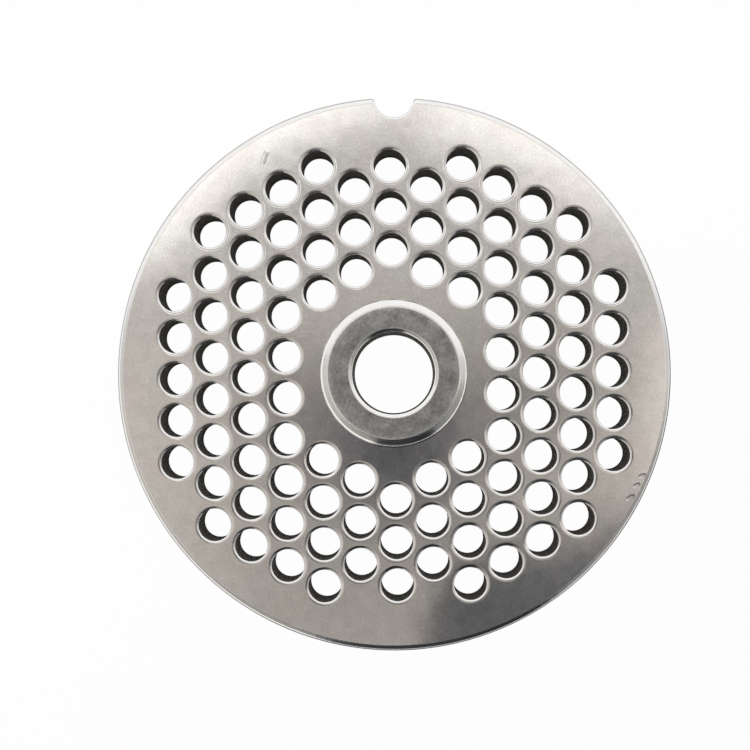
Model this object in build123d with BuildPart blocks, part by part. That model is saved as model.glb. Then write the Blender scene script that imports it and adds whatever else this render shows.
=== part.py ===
"""A meat grinder plate: a drilled steel disc with a raised hub and a key notch.

The plate lies on its flat cutting face, with the hub up.  The origin is the
centre of the bore on the cutting face, +Z runs along the bore out of the hub,
and the key notch is cut into the rim at +Y.  All sizes are in millimetres.
"""
from build123d import *
from math import ceil, hypot, sqrt
import os

# The turned blank: a flat disc with a hub standing on one face.
plate_diameter = 82.5
plate_thickness = 8.0
rim_outer_bevel = 0.85      # on the hub side, where the ring nut bears
rim_face_bevel = 0.5        # on the cutting side
hub_diameter = 22.0
hub_height = 3.0            # above the face of the disc
hub_bevel = 1.3             # round the hub's top

# The bore, which runs on the pin of the feed screw.
bore_diameter = 12.0
bore_hub_bevel = 0.7        # at its mouth in the hub
bore_face_bevel = 0.3       # at its mouth in the cutting face

# The half-round notch, which fits a key in the grinder's head.
notch_radius = 3.0
notch_depth = 3.0           # from the rim to the bottom of the notch
notch_lip_round = 0.4       # where the notch breaks out through the rim

# The field of mincing holes, drilled on equal triangles in straight columns.
hole_diameter = 4.8
hole_pitch = 6.25           # centre to centre, to all six neighbours
land_at_hub = 1.5           # least solid metal between a hole and the hub
land_at_rim = 3.0           # least solid metal between a hole and the rim
land_at_key = 6.0           # strip kept whole beside the notch and opposite it
field_turn = 1.1            # degrees that the field sits off the notch's line
field_drift = 0.2           # that the field's centre sits below the bore

# Sizes that follow from those above.
plate_radius = plate_diameter / 2
hub_radius = hub_diameter / 2
bore_radius = bore_diameter / 2
hole_radius = hole_diameter / 2
top_of_hub = plate_thickness + hub_height
notch_centre = plate_radius - notch_depth + notch_radius
column_step = hole_pitch * sqrt(3) / 2
nearest_hole = hub_radius + land_at_hub + hole_radius
farthest_hole = plate_radius - land_at_rim - hole_radius
highest_hole = plate_radius - land_at_key - hole_radius

# Bevelled corners of the half section, as radius and height.
bevels = {
    (bore_radius, 0): bore_face_bevel,
    (bore_radius, top_of_hub): bore_hub_bevel,
    (hub_radius, top_of_hub): hub_bevel,
    (plate_radius, plate_thickness): rim_outer_bevel,
    (plate_radius, 0): rim_face_bevel,
}


def hole_centres():
    """Centres of the mincing holes, column by column, before the field is turned."""
    centres = []
    columns = ceil(farthest_hole / column_step)
    rows = ceil(farthest_hole / hole_pitch)
    for column in range(-columns, columns + 1):
        half_step = hole_pitch / 2 if column % 2 else 0
        for row in range(-rows, rows + 1):
            x = column * column_step
            y = row * hole_pitch + half_step
            in_the_ring = nearest_hole <= hypot(x, y) <= farthest_hole
            if in_the_ring and abs(y) <= highest_hole:
                centres.append((x, y))
    return centres


with BuildPart() as grinder_plate:
    # The blank as it leaves the lathe, turned from half its section.
    with BuildSketch(Plane.XZ) as half_section:
        with BuildLine():
            Polyline(
                (bore_radius, 0),
                (plate_radius, 0),
                (plate_radius, plate_thickness),
                (hub_radius, plate_thickness),
                (hub_radius, top_of_hub),
                (bore_radius, top_of_hub),
                close=True,
            )
        make_face()
        for corner, bevel in bevels.items():
            chamfer(half_section.vertices().sort_by_distance(corner)[0], bevel)
    revolve(axis=Axis.Z)

    # The outline from above: the rim with the key notch milled through it.
    with BuildSketch() as outline:
        Circle(plate_radius)
        with Locations((0, notch_centre)):
            Circle(notch_radius, mode=Mode.SUBTRACT)
        fillet(outline.vertices().group_by(Axis.Y)[-1], notch_lip_round)
    extrude(amount=top_of_hub, mode=Mode.INTERSECT)

    # The mincing holes, drilled square through the disc.
    drilled_field = Plane((0, -field_drift, 0)).rotated((0, 0, field_turn))
    with BuildSketch(drilled_field):
        with Locations(*hole_centres()):
            Circle(hole_radius)
    extrude(amount=plate_thickness, mode=Mode.SUBTRACT)

grinder_plate.part.label = "grinder_plate"

os.makedirs("parts", exist_ok=True)
export_step(grinder_plate.part, "parts/grinder_plate.step")
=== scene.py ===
# %% [markdown]
# # A meat grinder plate in satin steel
#
# The plate is the perforated disc at the mouth of a meat grinder.  A cross
# knife turns against its flat side and shears the meat that the feed screw
# pushes through the holes.  It is one solid piece of steel: a turned disc with
# a raised hub, a bore for the pin of the feed screw, a half-round notch that a
# key in the grinder's head holds, and a field of drilled holes.
#
# This lesson models that piece the way a machine shop makes it, and then gives
# each surface the finish that its tool left.  All sizes are real sizes.

import bpy
import bmesh
from math import atan2, ceil, cos, hypot, pi, radians, sin, sqrt
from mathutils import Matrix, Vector


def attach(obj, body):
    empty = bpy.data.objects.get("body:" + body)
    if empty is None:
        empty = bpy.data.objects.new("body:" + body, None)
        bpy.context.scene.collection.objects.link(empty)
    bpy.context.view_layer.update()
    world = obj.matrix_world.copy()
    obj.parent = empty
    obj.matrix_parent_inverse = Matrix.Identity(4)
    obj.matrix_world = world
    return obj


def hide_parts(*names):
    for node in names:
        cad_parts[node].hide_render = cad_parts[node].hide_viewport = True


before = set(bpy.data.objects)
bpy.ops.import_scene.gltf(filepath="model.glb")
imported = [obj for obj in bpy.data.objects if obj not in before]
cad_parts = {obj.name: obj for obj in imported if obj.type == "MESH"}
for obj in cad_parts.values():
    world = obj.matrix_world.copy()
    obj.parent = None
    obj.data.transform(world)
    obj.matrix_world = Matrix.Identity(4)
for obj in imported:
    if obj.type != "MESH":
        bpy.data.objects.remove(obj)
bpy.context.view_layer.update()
mm = 0.001

# %% [markdown]
# ## Working by hand, in code
#
# Blender's modelling operators act on whatever is selected, so four small
# helpers come first.  One selects a single object, one picks edges or faces by a
# test on their place and direction, which is what the eye and the mouse do in
# the window, one opens an object in edit mode, and one writes a move into the
# mesh.


# %% Helpers that select
def take(thing):
    """Make this the only selected object."""
    if bpy.context.object and bpy.context.object.mode != "OBJECT":
        bpy.ops.object.mode_set(mode="OBJECT")
    bpy.ops.object.select_all(action="DESELECT")
    thing.select_set(True)
    bpy.context.view_layer.objects.active = thing
    return thing


def pick(kind, test):
    """In edit mode, select the edges or faces that pass the test, and nothing else."""
    bpy.ops.mesh.select_mode(type=kind)
    bpy.ops.mesh.select_all(action="DESELECT")
    mesh = bmesh.from_edit_mesh(bpy.context.object.data)
    chosen = [e for e in (mesh.edges if kind == "EDGE" else mesh.faces) if test(e)]
    for element in chosen:
        element.select_set(True)
    mesh.select_flush_mode()
    bmesh.update_edit_mesh(bpy.context.object.data)
    return len(chosen)


def edit(thing):
    """Open an object in edit mode."""
    take(thing)
    bpy.ops.object.mode_set(mode="EDIT")


def fix_place(thing):
    """Write an object's place, turn and scale into its mesh."""
    take(thing)
    bpy.ops.object.transform_apply(location=True, rotation=True, scale=True)
    return thing


print("helpers:", [helper.__name__ for helper in (take, pick, edit, fix_place)])

# %% [markdown]
# Most picks on a turned part ask one thing of a face: is it level, or is it a
# wall?  The upward part of its normal answers that, so the limits get names.

# %% Level faces and walls, told by their normals
level = 0.999
upright = 0.01


def looks_up(f):
    """A level face with the metal below it."""
    return f.normal.z > level


def looks_down(f):
    """A level face with the metal above it."""
    return f.normal.z < -level


def is_wall(f):
    """A face that stands upright."""
    return abs(f.normal.z) < upright


print("level from", level, "and upright below", upright)

# %% [markdown]
# ## Finishes, as slots to fill later
#
# Each tool leaves its own finish, so each surface gets a material slot of its
# own.  The slots could be handed out at the very end, but then every face would
# have to be found again among thousands.  Made now, they travel with the faces
# through every bevel and cut.  The materials stay empty until the second half
# of the lesson.

# %% One slot for each finish
finishes = {
    name: bpy.data.materials.new(name)
    for name in (
        "ground_face",
        "pressed_hub_top",
        "tumbled_edges",
        "turned_walls",
        "drilled_walls",
        "lapped_cutting_side",
    )
}
slots = {name: index for index, name in enumerate(finishes)}
for material in finishes.values():
    material.use_nodes = True
print("slots:", slots)

# %% [markdown]
# ## Edges that tumbling has rounded
#
# Plates are tumbled with abrasive stones before the last grinding, which rounds
# every outer corner: broadly on the hub's shoulder, less on the rim and the
# mouth of the bore.  The stones ride over the top of a corner and hardly touch
# the wall below it, so the round starts steep at the wall, with a crease, and
# runs out smoothly into the flat.
#
# A bevel would round both sides of a corner alike, so these edges are built up
# instead.  One list of steps describes such an edge, and one move follows it:
# extrude a cap up a little and make it wider or narrower, again and again.
# Narrowing a cap rounds the corner of a disc, and widening it makes the flared
# mouth of a cutter.

# %% A rounded edge as steps, and a move that follows them
hair = 0.01 * mm


def rounded_edge(width, steepest, segments):
    """Steps in from the wall and up, along an arc that ends level."""
    arc = width / sin(steepest)
    turns = [steepest * (1 - step / segments) for step in range(segments + 1)]
    return [
        (arc * (sin(steepest) - sin(turn)), arc * (cos(turn) - cos(steepest)))
        for turn in turns
    ]


def follow(steps, radius, way):
    """Extrude the selected cap along the steps; way is 1 to widen, -1 to narrow."""
    for (out, up), (next_out, next_up) in zip(steps, steps[1:]):
        lift = (0, 0, next_up - up)
        wider = (radius + way * next_out) / (radius + way * out)
        bpy.ops.mesh.extrude_region_move(TRANSFORM_OT_translate={"value": lift})
        bpy.ops.transform.resize(value=(wider, wider, 1))


hub_edge = rounded_edge(1.35 * mm, radians(60), 7)
bore_edge = rounded_edge(0.70 * mm, radians(60), 5)
rim_edge = rounded_edge(0.85 * mm, radians(65), 6)
for name, steps in (("hub", hub_edge), ("bore", bore_edge), ("rim", rim_edge)):
    print(name, "edge, mm:", [tuple(round(part / mm, 2) for part in s) for s in steps])

# %% [markdown]
# ## The blank
#
# A blank disc is faced to thickness and its hub is left standing when the face
# around it is cut back.  It could be spun from half its section, as on the
# lathe.  Here it grows out of a cylinder, because each ring is then one plain
# move.  The cylinder's cap follows the rim's edge, is inset to the hub, extruded
# to the hub's shoulder, follows that too, and sinks into the mouth of the bore.
# Bridging the two caps that are left opens the bore.
#
# Blender rounds its numbers, so the rim and the hub's top are kept a hair inside
# their real sizes.

# %% Sizes of the blank
plate_radius = 41.25 * mm
plate_thickness = 8.0 * mm
hub_radius = 11.0 * mm
hub_height = 3.0 * mm - hair
bore_radius = 6.0 * mm
top_of_hub = plate_thickness + hub_height
rim_sides = 192
print("blank:", 2 * plate_radius / mm, "mm across,", round(top_of_hub / mm, 2), "mm high")

# %% Turn the disc, raise the hub, open the bore
wall_height = plate_thickness - rim_edge[-1][1]
bpy.ops.object.select_all(action="DESELECT")
bpy.ops.mesh.primitive_cylinder_add(
    vertices=rim_sides,
    radius=plate_radius - hair,
    depth=wall_height,
    location=(0, 0, wall_height / 2),
    rotation=(0, 0, pi / rim_sides),
)
plate = fix_place(bpy.context.object)
plate.name = "plate"
for material in finishes.values():
    plate.data.materials.append(material)
edit(plate)
pick("FACE", looks_up)
follow(rim_edge, plate_radius, -1)
bpy.ops.mesh.inset(thickness=plate_radius - rim_edge[-1][0] - hub_radius)
hub_wall = (0, 0, hub_height - hub_edge[-1][1])
bpy.ops.mesh.extrude_region_move(TRANSFORM_OT_translate={"value": hub_wall})
follow(hub_edge, hub_radius, -1)
mouth_radius = bore_radius + bore_edge[-1][0]
bpy.ops.mesh.inset(thickness=hub_radius - hub_edge[-1][0] - mouth_radius)
follow(bore_edge[::-1], bore_radius, 1)
pick("FACE", looks_down)
bpy.ops.mesh.inset(thickness=plate_radius - bore_radius)
pick("FACE", lambda f: len(f.verts) == rim_sides)
bpy.ops.mesh.bridge_edge_loops()
bpy.ops.mesh.select_all(action="SELECT")
bpy.ops.mesh.normals_make_consistent(inside=False)
print("blank:", len(bpy.context.object.data.polygons), "faces")

# %% [markdown]
# ## The edges of the cutting side
#
# The knife needs a flat plate to its very edge, so the two corners on the
# cutting side are only broken a little.  Nothing about them is lopsided, so a
# plain bevel will do.  Each corner is a ring of edges between a flat face and a
# wall, found by its height and radius.

# %% Break the corners of the cutting side
rim_face_round = 0.5 * mm
bore_face_round = 0.3 * mm
near = 0.5 * mm


def corner_at(radius):
    """A test for the edges of the cutting side at a radius."""

    def test(e):
        low = abs(e.verts[0].co.z) + abs(e.verts[1].co.z) < hair
        round_it = all(abs(v.co.xy.length - radius) < near for v in e.verts)
        return low and round_it

    return test


for radius, size in ((plate_radius, rim_face_round), (bore_radius, bore_face_round)):
    edges = pick("EDGE", corner_at(radius))
    bpy.ops.mesh.bevel(offset=size, segments=3, profile=0.5, affect="EDGES")
    print(f"corner at {radius / mm} mm: {edges} edges rounded by {size / mm} mm")

# %% [markdown]
# With all its turned surfaces in place, the blank's faces go to their slots.
# The tilt of a face tells a flat from a wall or a rounded edge, and its height
# or radius tells one flat or wall from another.  The bore is the last wall in
# the list, so it takes its own finish over that of the turned walls.

# %% Give each surface its slot
surfaces = {
    "tumbled_edges": lambda f: upright < abs(f.normal.z) < level,
    "ground_face": lambda f: looks_up(f) and f.verts[0].co.z < top_of_hub - near,
    "pressed_hub_top": lambda f: looks_up(f) and f.verts[0].co.z > top_of_hub - near,
    "lapped_cutting_side": looks_down,
    "turned_walls": is_wall,
    "drilled_walls": lambda f: is_wall(f)
    and f.verts[0].co.xy.length < bore_radius + hair,
}
for name, test in surfaces.items():
    count = pick("FACE", test)
    plate.active_material_index = slots[name]
    bpy.ops.object.material_slot_assign()
    print(f"{name}: {count} faces")

# %% [markdown]
# The flats are still cut into thin wedges from rim to hub.  Dissolving the
# edges between them leaves a few broad faces, which keeps the drilling clean.
# A flat with a hole in its middle can't be one face, so each is left in six.

# %% Join the wedges of the flats
flats_by_side = (("ground_face", "pressed_hub_top"), ("lapped_cutting_side",))
sectors = 6


def sector_of(f):
    """Which of the six sectors of the plate a face lies in."""
    middle = f.calc_center_median()
    turned = atan2(middle.y, middle.x) % (2 * pi)
    return int(turned * sectors / (2 * pi))


def join_flat(flat, sector):
    """Dissolve the edges inside one sector of one flat."""
    pick("FACE", lambda f: f.material_index == slots[flat] and sector_of(f) == sector)
    bpy.ops.mesh.dissolve_faces()


for flats in flats_by_side:
    for sector in range(sectors):
        for flat in flats:
            join_flat(flat, sector)
bpy.ops.object.mode_set(mode="OBJECT")
print("faces after joining:", len(plate.data.polygons))

# %% [markdown]
# ## The key notch
#
# The notch is milled through the rim with a round cutter, whose centre stands
# on the rim itself, so half a circle is left.  Knifing that shape into the rim
# by hand would be slow and uneven, and a Boolean modifier does what the cutter
# does.
#
# The cutter is a cylinder with a mouth that widens along the steps of a rounded
# edge, and the same way of making a tool serves for the drill further on.  Each
# face of the tool carries the finish that it leaves: the wall its own, the mouth
# that of tumbled edges, and a mouth's nearly level end that of the face around
# it.  The tool runs past both sides of the plate, because a cut that ends
# exactly on a face leaves slivers.

# %% A cutter with a flared mouth
overrun = 1.0 * mm  # of a tool past the cutting side
overshoot = 0.15  # of the mouth's last step past the face, as a share of it
mouth_tilt = 0.05  # the upward part of a normal from which a face is the mouth's
dish_tilt = 0.998  # and from which it is a mouth's nearly level end


def flared_cutter(radius, sides, mouth, wall_finish):
    """A round tool through the disc, widened at its top in the steps of its mouth."""
    straight = plate_thickness - mouth[-1][1] + overrun
    bpy.ops.object.select_all(action="DESELECT")
    bpy.ops.mesh.primitive_cylinder_add(
        vertices=sides,
        radius=radius,
        depth=straight,
        location=(0, 0, straight / 2 - overrun),
    )
    tool = fix_place(bpy.context.object)
    for finish in (wall_finish, "tumbled_edges", "ground_face"):
        tool.data.materials.append(finishes[finish])
    edit(tool)
    pick("FACE", looks_up)
    past = [
        last + overshoot * (last - before) for last, before in zip(mouth[-1], mouth[-2])
    ]
    follow(mouth[:-1] + [past], radius, 1)
    for slot, tilt in ((1, mouth_tilt), (2, dish_tilt)):
        pick("FACE", lambda f: abs(f.normal.z) > tilt)
        tool.active_material_index = slot
        bpy.ops.object.material_slot_assign()
    bpy.ops.mesh.select_all(action="SELECT")
    bpy.ops.mesh.normals_make_consistent(inside=False)
    bpy.ops.object.mode_set(mode="OBJECT")
    return tool


def cut_away(body, tool):
    """Cut the tool's shape out of the body; the cut faces keep the tool's finish."""
    take(body)
    bpy.ops.object.modifier_add(type="BOOLEAN")
    cut = body.modifiers[-1]
    cut.operation = "DIFFERENCE"
    cut.solver = "EXACT"
    cut.material_mode = "TRANSFER"
    cut.object = tool
    bpy.ops.object.modifier_apply(modifier=cut.name)
    bpy.data.objects.remove(tool)


print("each tool runs", overrun / mm, "mm past the cutting side")

# %% [markdown]
# The milling cutter has fewer sides than the rim, since it is far smaller.  It
# is moved out to the rim, and its move is written into its mesh before it cuts.

# %% Mill the notch
notch_radius = 3.0 * mm
notch_edge = rounded_edge(0.40 * mm, radians(60), 4)
notch_sides = 28
cutter = flared_cutter(notch_radius, notch_sides, notch_edge, "turned_walls")
cutter.location.y = plate_radius
cut_away(plate, fix_place(cutter))
print("faces after milling:", len(plate.data.polygons))

# %% [markdown]
# The milling cutter leaves a sharp lip on each side, where the notch breaks out
# through the rim.  A file takes it off.  The lip is every edge with the notch's
# wall on one side only, and a bevel rounds it.

# %% Ease the lips where the notch breaks out of the rim
notch_lip_round = 0.35 * mm
notch_axis = Vector((0, plate_radius))
facing = 0.3  # the cosine of a loose aim at the axis
rim_band = plate_radius - 0.7 * rim_edge[-1][0]


def faces_notch(f):
    """A face of the notch's wall, which looks towards the notch's axis."""
    inward = notch_axis - f.calc_center_median().xy
    close = inward.length < notch_radius + notch_edge[-1][0]
    return close and f.normal.xy.dot(inward.normalized()) > facing


def is_lip(e):
    """An edge where the notch's wall breaks out through the rim."""
    one, other = e.link_faces
    middle = (e.verts[0].co + e.verts[1].co) / 2
    return middle.xy.length > rim_band and faces_notch(one) != faces_notch(other)


edit(plate)
lips = pick("EDGE", is_lip)
bpy.ops.mesh.bevel(offset=notch_lip_round, segments=3, profile=0.5, affect="EDGES")
bpy.ops.object.mode_set(mode="OBJECT")
print("notch lip edges eased:", lips)

# %% [markdown]
# ## The mincing holes
#
# The drill pattern is the heart of the plate: holes at the corners of equal
# triangles, so that each has six neighbours at one distance and the metal
# between them is even.  Whole rows are left out where they would break into
# the hub, the rim, or the solid strips beside the notch and opposite it.
#
# One drill is modelled once: a straight cylinder for the shank, with a mouth
# for the edge that tumbling rounds.  The stones also dish the face a little
# round each hole, so the last step is broad and low and keeps the face's finish.
# The cutting side has no such mouth, because the sharp edge there does the
# shearing.

# %% One drill
hole_radius = 2.43 * mm
drill_sides = 40
hole_edge = [
    (out * mm, up * mm)
    for out, up in (
        (0, 0),
        (0.05, 0.06),
        (0.11, 0.098),
        (0.17, 0.118),
        (0.25, 0.133),
        (0.56, 0.149),
    )
]
drill = flared_cutter(hole_radius, drill_sides, hole_edge, "drilled_walls")
print("drill:", len(drill.data.polygons), "faces")

# %% [markdown]
# Array modifiers could repeat the drill in rows, but they can't leave holes out.
# So the pattern is laid out on its own, before any drilling: columns of holes
# one pitch apart, every second column half a step up, and then the tests that
# trim it against the hub, the rim and the strips.  The whole field sits a little
# turned and low against the notch, as a jig leaves it.

# %% The drill pattern
hole_pitch = 6.25 * mm
land_at_hub = 1.5 * mm
land_at_rim = 3.0 * mm
land_at_key = 6.0 * mm
field_turn = radians(1.1)
field_drift = 0.2 * mm


def hole_centres():
    """Centres of the mincing holes, column by column, turned as the field is."""
    nearest = hub_radius + land_at_hub + hole_radius
    farthest = plate_radius - land_at_rim - hole_radius
    highest = plate_radius - land_at_key - hole_radius
    column_step = hole_pitch * sqrt(3) / 2
    columns = ceil(farthest / column_step)
    rows = ceil(farthest / hole_pitch)
    centres = []
    for column in range(-columns, columns + 1):
        half_step = hole_pitch / 2 if column % 2 else 0
        for row in range(-rows, rows + 1):
            x, y = column * column_step, row * hole_pitch + half_step
            if nearest <= hypot(x, y) <= farthest and abs(y) <= highest:
                turned_x = x * cos(field_turn) - y * sin(field_turn)
                turned_y = x * sin(field_turn) + y * cos(field_turn)
                centres.append((turned_x, turned_y - field_drift))
    return centres


centres = hole_centres()
print("mincing holes:", len(centres))

# %% [markdown]
# The drill is copied to every centre, each copy with its own mesh, and the
# copies are joined, so that one Boolean cuts all the holes at once.  Drilling
# one hole after another would give the same plate, far more slowly.

# %% Drill them all
drills = []
for x, y in centres:
    take(drill)
    bpy.ops.object.duplicate(linked=False)
    copy = bpy.context.object
    copy.location = (x, y, 0)
    drills.append(copy)
bpy.data.objects.remove(drill)
take(drills[0])
for copy in drills:
    copy.select_set(True)
bpy.ops.object.join()
cut_away(plate, fix_place(bpy.context.object))
print("faces after drilling:", len(plate.data.polygons))

# %% [markdown]
# ## Smooth shading
#
# The rings of faces should read as round while the flats stay flat.  Finer
# rings would do it at the cost of many more faces.  Shading smooth by angle
# softens only gentle corners, and the Weighted Normal modifier then lets the
# large flat faces set the direction at their edges, so that no shadow creeps out
# over them.

# %% Shade the plate
gentle = radians(35)
take(plate)
bpy.ops.object.shade_smooth_by_angle(angle=gentle)
bpy.ops.object.modifier_add(type="WEIGHTED_NORMAL")
weighting = plate.modifiers[-1]
weighting.mode = "FACE_AREA"
weighting.weight = 100
weighting.keep_sharp = True
bpy.ops.object.modifier_apply(modifier=weighting.name)
triangles = sum(len(p.vertices) - 2 for p in plate.data.polygons)
print("plate:", triangles, "triangles")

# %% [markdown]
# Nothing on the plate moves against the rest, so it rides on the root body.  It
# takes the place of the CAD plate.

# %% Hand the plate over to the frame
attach(plate, "root")
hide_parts("grinder_plate")
print(plate.name, "stands for grinder_plate")

# %% [markdown]
# ## Writing materials as sums
#
# A finish is arithmetic on a few noises.  Wiring that up node by node takes
# dozens of lines and hides the sum, so one class wraps an output of a shader
# node.  Adding or multiplying two of them adds a Math node, `node` adds a node
# of any other kind, `fade` is a smooth step from 0 to 1, and `parts` takes a
# vector apart.


# %% A wire between shader nodes
class Wire:
    """One output of a shader node, which does its arithmetic with Math nodes."""

    def __init__(self, tree, socket=None):
        self.tree = tree
        self.socket = socket

    def node(self, kind, settings=None, values=None, output=0):
        """Add a node, set it up, fill or link its sockets, and give one output."""
        made = self.tree.nodes.new(kind)
        for name, value in (settings or {}).items():
            setattr(made, name, value)
        for name, value in (values or {}).items():
            if isinstance(value, Wire):
                self.tree.links.new(value.socket, made.inputs[name])
            else:
                made.inputs[name].default_value = value
        return Wire(self.tree, made.outputs[output] if made.outputs else None)

    def maths(self, operation, *numbers):
        """One Math node on wires or plain numbers."""
        values = dict(enumerate(numbers))
        return self.node("ShaderNodeMath", {"operation": operation}, values)

    def __add__(self, other):
        return self.maths("ADD", self, other)

    def __radd__(self, other):
        return self.maths("ADD", other, self)

    def __sub__(self, other):
        return self.maths("SUBTRACT", self, other)

    def __rsub__(self, other):
        return self.maths("SUBTRACT", other, self)

    def __mul__(self, other):
        return self.maths("MULTIPLY", self, other)

    def __rmul__(self, other):
        return self.maths("MULTIPLY", other, self)

    def __truediv__(self, other):
        return self.maths("DIVIDE", self, other)

    def __pow__(self, other):
        return self.maths("POWER", self, other)

    def fade(self, low, high):
        """Rise smoothly from 0 at low to 1 at high, or fall where low is the greater."""
        ends = {"Value": self, "From Min": low, "From Max": high}
        return self.node(
            "ShaderNodeMapRange", {"interpolation_type": "SMOOTHSTEP"}, ends
        )

    def parts(self):
        """The x, y and z of a vector."""
        split = self.node("ShaderNodeSeparateXYZ", None, {0: self})
        outputs = split.socket.node.outputs
        return [Wire(self.tree, outputs[axis]) for axis in range(3)]


print("a Wire has", [name for name in vars(Wire) if not name.startswith("__")])

# %% [markdown]
# Each material below starts from its position on the piece in millimetres,
# which a few layers of noise turn into a finish.  Image textures could do the
# same, but noise has no seams and stays fine however near the camera comes.
# Colours go through Mix nodes, because a Math node would turn them grey.


# %% Helpers for materials
def start(material):
    """Clear a material's nodes and give a wire to build on, and its position in mm."""
    tree = material.node_tree
    tree.nodes.clear()
    wire = Wire(tree)
    place = wire.node("ShaderNodeTexCoord", output="Object")
    in_mm = wire.node(
        "ShaderNodeVectorMath", {"operation": "SCALE"}, {0: place, "Scale": 1 / mm}
    )
    return wire, in_mm


def noise(place, per_mm, detail=2.0, stretch=(1, 1, 1)):
    """Noise of about one blotch per 1 / per_mm, drawn out along the axes by stretch."""
    scaled = place.node(
        "ShaderNodeVectorMath",
        {"operation": "MULTIPLY"},
        {0: place, 1: [per_mm / s for s in stretch]},
    )
    return place.node(
        "ShaderNodeTexNoise", None, {"Vector": scaled, "Scale": 1.0, "Detail": detail}
    )


def blend_colours(wire, factor, first, second, way="MIX"):
    """Mix two colours, or multiply the first by the second."""
    settings = {"data_type": "RGBA", "blend_type": way}
    return wire.node("ShaderNodeMix", settings, {0: factor, 6: first, 7: second}, output=2)


def metal(wire, colour, roughness, height, depth):
    """Finish a material as bare metal with a fine relief of the given depth."""
    relief = wire.node(
        "ShaderNodeBump", None, {"Height": height, "Distance": depth, "Strength": 1.0}
    )
    looks = {
        "Base Color": colour,
        "Metallic": 1.0,
        "Roughness": roughness,
        "Normal": relief,
    }
    shader = wire.node("ShaderNodeBsdfPrincipled", None, looks)
    wire.node("ShaderNodeOutputMaterial", None, {"Surface": shader})
    print("bare metal from", len(wire.tree.nodes), "nodes")


print("helpers:", [helper.__name__ for helper in (start, noise, blend_colours, metal)])

# %% [markdown]
# ## Marks of use
#
# A scratch or a dent sits at one place, with a length, a width and a lean.  It
# could be painted, but a formula stays sharp at any size, so one function makes
# them all.  It gives 1 in the middle of the mark and fades to 0 at its edge.


# %% Marks on a flat
def mark(place, middle, length, width, lean):
    """An elongated spot at a place in mm, leaning by an angle in degrees."""
    x, y, _ = place.parts()
    ahead, aside = cos(radians(lean)), sin(radians(lean))
    x, y = x - middle[0], y - middle[1]
    along = (ahead * x + aside * y) / (length / 2)
    across = (ahead * y - aside * x) / (width / 2)
    return (along * along + across * across).fade(1.0, 0.1)


def marks(place, *shapes):
    """Several marks as one, each given by its middle, length, width and lean."""
    return sum(mark(place, *shape) for shape in shapes)


print("helpers:", [helper.__name__ for helper in (mark, marks)])

# %% [markdown]
# ## The ground face
#
# The face around the hub was surface ground and then tumbled: bright, nearly a
# mirror, with a fine even grain.  Grinding never leaves it quite flat, so slow
# waves bend what it mirrors, and handling has left clouds of a slightly pinker
# or greener tone.  It also has a double scratch at the upper left and three
# dents near the rim at the right, where another tool has slipped.

# %% Ground face
wire, place = start(finishes["ground_face"])
waves = noise(place, 0.09, 2.0)
clouds = noise(place, 0.13, 3.0)
mottle = noise(place, 0.7, 4.0)
grain = noise(place, 3.0, 3.0)
specks = noise(place, 2.1, 1.0).fade(0.70, 0.76)
raised_lines = marks(place, ((-19.5, 32.2), 2.5, 0.36, 72), ((-18.8, 32.1), 2.3, 0.34, 72))
scratches = raised_lines - 0.8 * mark(place, (-19.15, 32.1), 2.3, 0.40, 72)
dents = marks(
    place,
    ((36.9, -15.2), 1.5, 0.7, 20),
    ((36.1, -16.6), 1.3, 0.7, 25),
    ((35.2, -18.4), 1.6, 0.8, 30),
)

# %% [markdown]
# The layers meet here.  Fine grain and mottling set the tone of the steel, and
# the broad clouds its hue.  The relief is under a thousandth of a millimetre
# deep, because on a mirror the least slope shows.

# %% Put the ground face together
dark_steel, light_steel = (0.49, 0.465, 0.445, 1), (0.75, 0.72, 0.695, 1)
greenish, pinkish = (0.982, 1.0, 0.99, 1), (1.0, 0.983, 0.983, 1)
tone = 0.5 + 0.7 * (mottle - 0.5) + 0.9 * (grain - 0.5) + 0.5 * specks + 1.6 * scratches
steel = blend_colours(wire, tone, dark_steel, light_steel)
hue = blend_colours(wire, clouds.fade(0.35, 0.65), greenish, pinkish)
metal(
    wire,
    colour=blend_colours(wire, 1.0, steel, hue, "MULTIPLY"),
    roughness=0.06 + 0.04 * clouds + 0.03 * (mottle - 0.5),
    height=35 * waves + 1.2 * mottle + grain - 20 * dents - 14 * scratches,
    depth=0.0007 * mm,
)

# %% [markdown]
# ## The hub's top
#
# The top of the hub isn't ground.  It keeps the duller, darker skin of the
# pressing, with blotches, light specks and a few scratches.  Towards its outer
# edge the tumbling stones have polished that skin away, along a wavering line.

# %% Hub top
wire, place = start(finishes["pressed_hub_top"])
blotches = noise(place, 0.45, 5.0)
speckle = noise(place, 2.2, 4.0)
specks = noise(place, 1.5, 2.0).fade(0.66, 0.74)
long_scratches = marks(place, ((-6.9, -4.4), 2.2, 0.16, 75), ((-6.3, -4.9), 1.6, 0.13, 72))
scuffs = marks(place, ((2.4, -8.2), 0.9, 0.3, 20), ((-1.0, -7.6), 0.9, 0.6, 0))
scratches = long_scratches + 0.8 * scuffs
x, y, _ = place.parts()
polished = ((x * x + y * y) ** 0.5 + 1.2 * (blotches - 0.5)).fade(8.9, 9.8)
tone = 0.42 + 1.5 * (blotches - 0.5) + 0.9 * (speckle - 0.5)
tone = tone + 0.4 * specks + 0.8 * scratches + 0.35 * polished
dark_skin, light_skin = (0.19, 0.186, 0.18, 1), (0.46, 0.455, 0.44, 1)
metal(
    wire,
    colour=blend_colours(wire, tone, dark_skin, light_skin),
    roughness=0.22 + 0.12 * speckle,
    height=speckle + 2 * blotches - 2 * scratches,
    depth=0.002 * mm,
)

# %% [markdown]
# ## The tumbled edges
#
# Stones have polished every rounded corner, so they are the brightest parts.
# They aren't quite even, so a little relief makes what they mirror waver along
# the edge.

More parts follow.
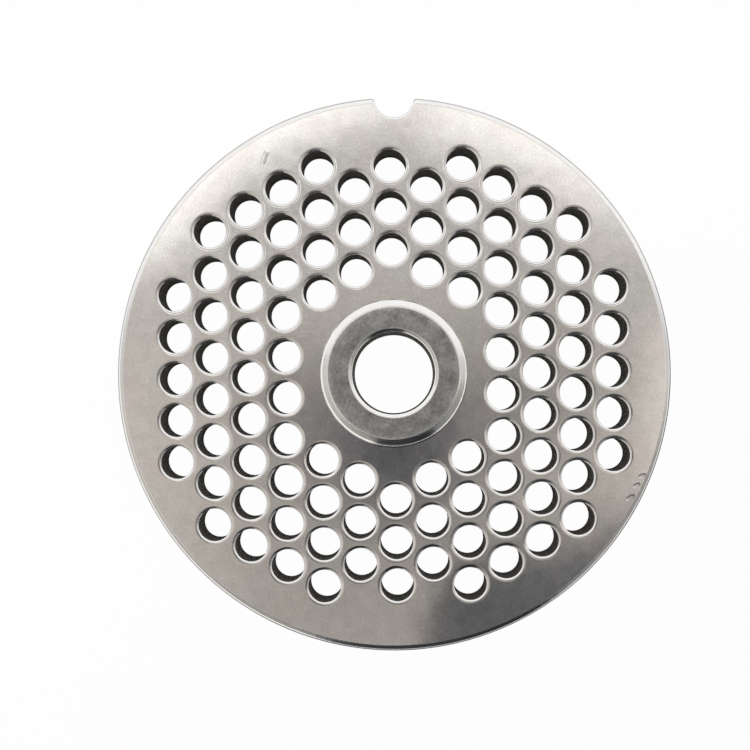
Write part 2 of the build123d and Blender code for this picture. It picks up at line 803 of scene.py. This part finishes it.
# %% Tumbled edges
wire, place = start(finishes["tumbled_edges"])
ripples = noise(place, 0.9, 3.0)
nicks = noise(place, 2.6, 2.0)
bright, brightest = (0.69, 0.68, 0.67, 1), (0.80, 0.79, 0.78, 1)
metal(
    wire,
    colour=blend_colours(wire, ripples, bright, brightest),
    roughness=0.08 + 0.10 * nicks,
    height=4 * ripples + nicks,
    depth=0.004 * mm,
)

# %% [markdown]
# ## The turned walls
#
# The rim, the side of the hub and the notch carry the fine lines of the tool
# that cut them.  Noise that is drawn out forty times along x and y, and not
# along z, makes such lines round any upright wall.

# %% Turned walls
wire, place = start(finishes["turned_walls"])
rings = noise(place, 6.0, 2.0, (40, 40, 1))
stain = noise(place, 0.25, 3.0)
dark_wall, light_wall = (0.40, 0.385, 0.37, 1), (0.64, 0.625, 0.60, 1)
metal(
    wire,
    colour=blend_colours(wire, 0.5 * rings + 0.5 * stain, dark_wall, light_wall),
    roughness=0.24 + 0.12 * stain,
    height=rings,
    depth=0.004 * mm,
)

# %% [markdown]
# ## The drilled walls
#
# Nothing polishes the inside of the holes and the bore.  They stay dull and
# dark, with the rings that the drill left.  A hole is darkest at its lower end,
# and the bore is dark all the way.  The lack of light gives some of that shade
# by itself, and the rest is shade painted into the colour, by height.

# %% Drilled walls
wire, place = start(finishes["drilled_walls"])
rings = noise(place, 5.0, 2.0, (8, 8, 1))
x, y, z = place.parts()
# Painted shade: the colour darkens towards the cutting side of each hole, and over all of
# the bore.
bore_painted_shade = (x * x + y * y).fade(50, 40)
painted_depth_shade = z.fade(0.6 * plate_thickness / mm, 0) + 1.2 * bore_painted_shade
dark_drilled, light_drilled = (0.27, 0.258, 0.24, 1), (0.44, 0.42, 0.39, 1)
metal(
    wire,
    colour=blend_colours(wire, rings - 0.9 * painted_depth_shade, dark_drilled, light_drilled),
    roughness=0.42 + 0.16 * rings,
    height=rings,
    depth=0.006 * mm,
)

# %% [markdown]
# ## The cutting side
#
# The side that the knife runs on is lapped flat.  The knife has drawn faint
# circles round the bore.  Noise along one line, read at the distance from the
# bore, gives circles of uneven strength.

# %% Cutting side
wire, place = start(finishes["lapped_cutting_side"])
x, y, _ = place.parts()
radius = (x * x + y * y) ** 0.5
circles = wire.node(
    "ShaderNodeTexNoise",
    {"noise_dimensions": "1D"},
    {"W": radius, "Scale": 3.0, "Detail": 5.0},
)
grain = noise(place, 2.5, 3.0)
tone = 0.5 + 0.5 * (circles - 0.5) + 0.3 * (grain - 0.5)
dark_lapped, light_lapped = (0.52, 0.505, 0.485, 1), (0.70, 0.69, 0.665, 1)
metal(
    wire,
    colour=blend_colours(wire, tone, dark_lapped, light_lapped),
    roughness=0.20 + 0.10 * circles,
    height=circles + 0.4 * grain,
    depth=0.003 * mm,
)

# %% [markdown]
# ## The floor
#
# The plate lies on a plain white board, a hair below it so that the two never
# touch.  Seen directly the board is plain white.  The steel sees more of it: the
# far board is just as white, and the strip beside the plate is grey paper, with
# a shadow painted darker on the side where the plate keeps the light off it.  A
# floor that is white all over would light the rim from every side and wash it
# out, so the kind of ray chooses between the two.

# %% Floor
floor_gap = 0.02 * mm
board_width = 6.0
bpy.ops.object.select_all(action="DESELECT")
bpy.ops.mesh.primitive_plane_add(size=board_width, location=(0, 0, -floor_gap))
floor = fix_place(bpy.context.object)
floor.name = "floor"

white_board = bpy.data.materials.new("white_board")
white_board.use_nodes = True
floor.data.materials.append(white_board)
print("floor:", round(floor.dimensions.x, 1), "m across,", floor_gap / mm, "mm below")

# %% [markdown]
# A light path node tells what kind of ray has met the board.  A direct ray finds
# it glowing plain white, and a mirrored ray finds paper near the plate and the
# same white farther off.

# %% White board and grey paper
lit_paper, painted_shadow_paper = (0.86, 0.86, 0.86, 1), (0.16, 0.165, 0.175, 1)
white = (1, 1, 1, 1)
wire, place = start(white_board)
x, y, _ = place.parts()
from_plate = (x * x + y * y) ** 0.5
seen = wire.node("ShaderNodeLightPath", output="Is Camera Ray")
mirrored = wire.node("ShaderNodeLightPath", output="Is Glossy Ray")
shown = seen + mirrored * from_plate.fade(55, 110)
# Painted shadow: towards the lower right, from just outside the rim, the paper's colour
# turns dark grey.
painted_shadow_mask = ((0.55 * x - 0.83 * y) / from_plate).fade(-0.1, 0.8) * from_plate.fade(40, 44)
paper = blend_colours(wire, painted_shadow_mask, lit_paper, painted_shadow_paper)
board = wire.node("ShaderNodeBsdfDiffuse", None, {"Color": paper})
glow = wire.node("ShaderNodeEmission", None, {"Color": white, "Strength": 1.0})
blank_paper = wire.node("ShaderNodeMixShader", None, {0: 0.98 * shown, 1: board, 2: glow})
wire.node("ShaderNodeOutputMaterial", None, {"Surface": blank_paper})
print("board drawn with", len(white_board.node_tree.nodes), "nodes")

# %% [markdown]
# ## The studio
#
# Polished steel shows its surroundings more than itself, so a still-life studio
# builds the surroundings first: a pale ceiling, windows, walls, and the dark
# things that stand over the table.  They could be real panels and lamps.  Here
# they are drawn on the world, by direction, which gives the same soft light with
# no lamp and hardly any noise.
#
# The Generated coordinate of the world is the direction of a ray.  Its flat part
# says how far the ray leans from upright.

# %% Direction of a ray
world = bpy.data.worlds.new("studio")
bpy.context.scene.world = world
world.use_nodes = True
tree = world.node_tree
tree.nodes.clear()
wire = Wire(tree)
x, y, z = wire.node("ShaderNodeTexCoord", output="Generated").parts()
lean = (x * x + y * y) ** 0.5
rise = z.maths("MAXIMUM", z, 0.05)
print("world:", world.name)

# %% [markdown]
# The flat face mirrors only a small part of the ceiling.  Measuring that part
# where it shows on the face, in millimetres, makes it as easy to draw as the
# face itself: a ray that leans by some slope shows that slope, times the
# camera's height over the face, away from the point below the camera.

# %% Places on the ceiling, measured on the face that mirrors them
camera_over = (0.7, -4.0)
camera_above = 230
face_x = camera_above * x / rise + camera_over[0]
face_y = camera_above * y / rise + camera_over[1]


def away_from(middle_x, middle_y, stretch=1.0):
    """Distance on the face from a point of it, in mm, with x counted stretch times."""
    return ((stretch * (face_x - middle_x)) ** 2 + (face_y - middle_y) ** 2) ** 0.5


def shade(depth, middle, size, core=0.0, stretch=1.0):
    """Light left under a dark thing: 1 - depth in its core, and all of it past its size."""
    return 1 - depth * away_from(*middle, stretch).fade(size, core)


print("the face lies", camera_above, "mm below the camera")

# %% [markdown]
# The ceiling is pale, a little darker to the back and the right.  Over the table
# hang the broad shade of the stand, the camera, which shows darkest, and the two
# arms that hold it, and a drape darkens the lower right from a sharp hem on.

# %% The ceiling and what hangs from it
plain = 0.766 - 0.0025 * face_y - 0.0007 * face_x
stand_shade = shade(0.42, (-8.2, -29.3), 57.5, stretch=1.4)
camera_shade = shade(0.825, (1.2, -11.5), 19.8, core=1, stretch=1.1)
left_arm = shade(0.47, (-13.3, -5.5), 16.2)
right_arm = shade(0.50, (19.3, -3.8), 24)
hem = (face_x - 0.25 * (face_y + 36)).fade(4.4, 6.0)
drape = 1 - 0.77 * hem * (face_y - 0.16 * face_x).fade(-20, -34)
ceiling = plain * stand_shade * camera_shade * left_arm * right_arm
ceiling = ceiling * face_y.fade(-75, -40)
print("ceiling drawn with", len(tree.nodes), "nodes")

# %% [markdown]
# Two windows stand at the back, one to the left and one to the right, and they
# brighten the face towards its upper rim.  A doorway does the same for a narrow
# part of the rim at the right.  All of them are light added to the ceiling.

# %% Windows and a doorway
from_middle = away_from(0, 0)
left_side = face_y.fade(11, 24) * face_x.fade(4, -4)
right_side = face_y.fade(14, 34) * face_x.fade(-2, 8)
left_pane = 1.35 * from_middle.fade(33.5, 42.5) * left_side
right_pane = 1.08 * from_middle.fade(29, 41.5) * right_side
panes = (left_pane + right_pane) * from_middle.fade(51, 44)
doorway = 0.30 * face_x.fade(36, 40) * face_y.fade(13, 5)
ceiling = (ceiling + panes + doorway) * drape
print("with windows:", len(tree.nodes), "nodes")

# %% [markdown]
# The rounded edges turn past the ceiling and mirror the walls all round.  The
# wall behind the table is a bright window wall and the one in front is dim, with
# a corner in shadow and a dark curtain.  Low down, the white horizon of the
# board shines all round and draws a thin bright line along each edge.

# %% The walls of the room, which the rounded edges mirror
sideways = lean.maths("MAXIMUM", lean, 0.001)


def towards(right, back):
    """How well a ray points in one direction of the room: 1 straight at it, -1 away."""
    return (right * x + back * y) / sideways


behind = towards(0, 1)
walls = 0.40 + 0.20 * behind.fade(-0.9, -0.5) + 0.15 * behind.fade(-0.5, 0.0)
walls = walls + 0.45 * behind.fade(0.1, 0.5)
walls = walls * (1 - 0.4 * towards(0.77, -0.64).fade(0.75, 0.95))
horizon = (z + 0.16 * towards(0.9, -0.43).fade(0.3, 0.8)).fade(0.36, 0.28)
curtain = 0.88 * towards(0.174, -0.985).fade(0.87, 0.93)
low = (walls * (1 - horizon) + 1.25 * horizon) * (1 - curtain)
print("walls drawn with", len(tree.nodes), "nodes")

# %% [markdown]
# Ceiling and walls meet in a soft cove.  Dark parts are a little bluer and
# bright ones a little warmer, as daylight and lamps mix in a room.  Seen
# directly, the world is plain white.

# %% Join them and light the plate
cove = lean.fade(0.29, 0.39)
light = ceiling * (1 - cove) + low * cove
lamp_light, window_light = (1.03, 0.99, 0.94, 1), (1.0, 0.995, 0.985, 1)
shadow_blue = (0.94, 0.97, 1.05, 1)
warm = blend_colours(wire, face_y.fade(-5, 25), lamp_light, window_light)
tint = blend_colours(wire, light.fade(0.15, 0.45), shadow_blue, warm)
lit = wire.node("ShaderNodeBackground", None, {"Color": tint, "Strength": light})
blank = wire.node("ShaderNodeBackground", None, {"Color": white, "Strength": 1.0})
seen = wire.node("ShaderNodeLightPath", output="Is Camera Ray")
sky = wire.node("ShaderNodeMixShader", None, {0: seen, 1: lit, 2: blank})
wire.node("ShaderNodeOutputWorld", None, {"Surface": sky})
print("studio drawn with", len(tree.nodes), "nodes")

# %% [markdown]
# ## The camera
#
# The camera looks almost straight down on the plate from 24 cm, so the holes
# near the middle show little of their walls and those near the rim show their
# outer walls.  From farther off with a longer lens, all the holes would look
# alike.

# %% Camera
camera_place = (0.685 * mm, -4.03 * mm, 238.02 * mm)
camera_turn = (0.941, 0.860, 0.057)
camera_data = bpy.data.cameras.new("camera")
camera = bpy.data.objects.new("camera", camera_data)
bpy.context.scene.collection.objects.link(camera)
camera_data.sensor_width = 36.0
camera_data.lens = 74.16
camera_data.clip_start = 0.01
camera.location = camera_place
camera.rotation_euler = [radians(turn) for turn in camera_turn]
bpy.context.scene.camera = camera
bpy.context.scene.view_settings.view_transform = "Standard"
print("camera:", round(camera_place[2] / mm), "mm up, lens", round(camera_data.lens), "mm")

# %% [markdown]
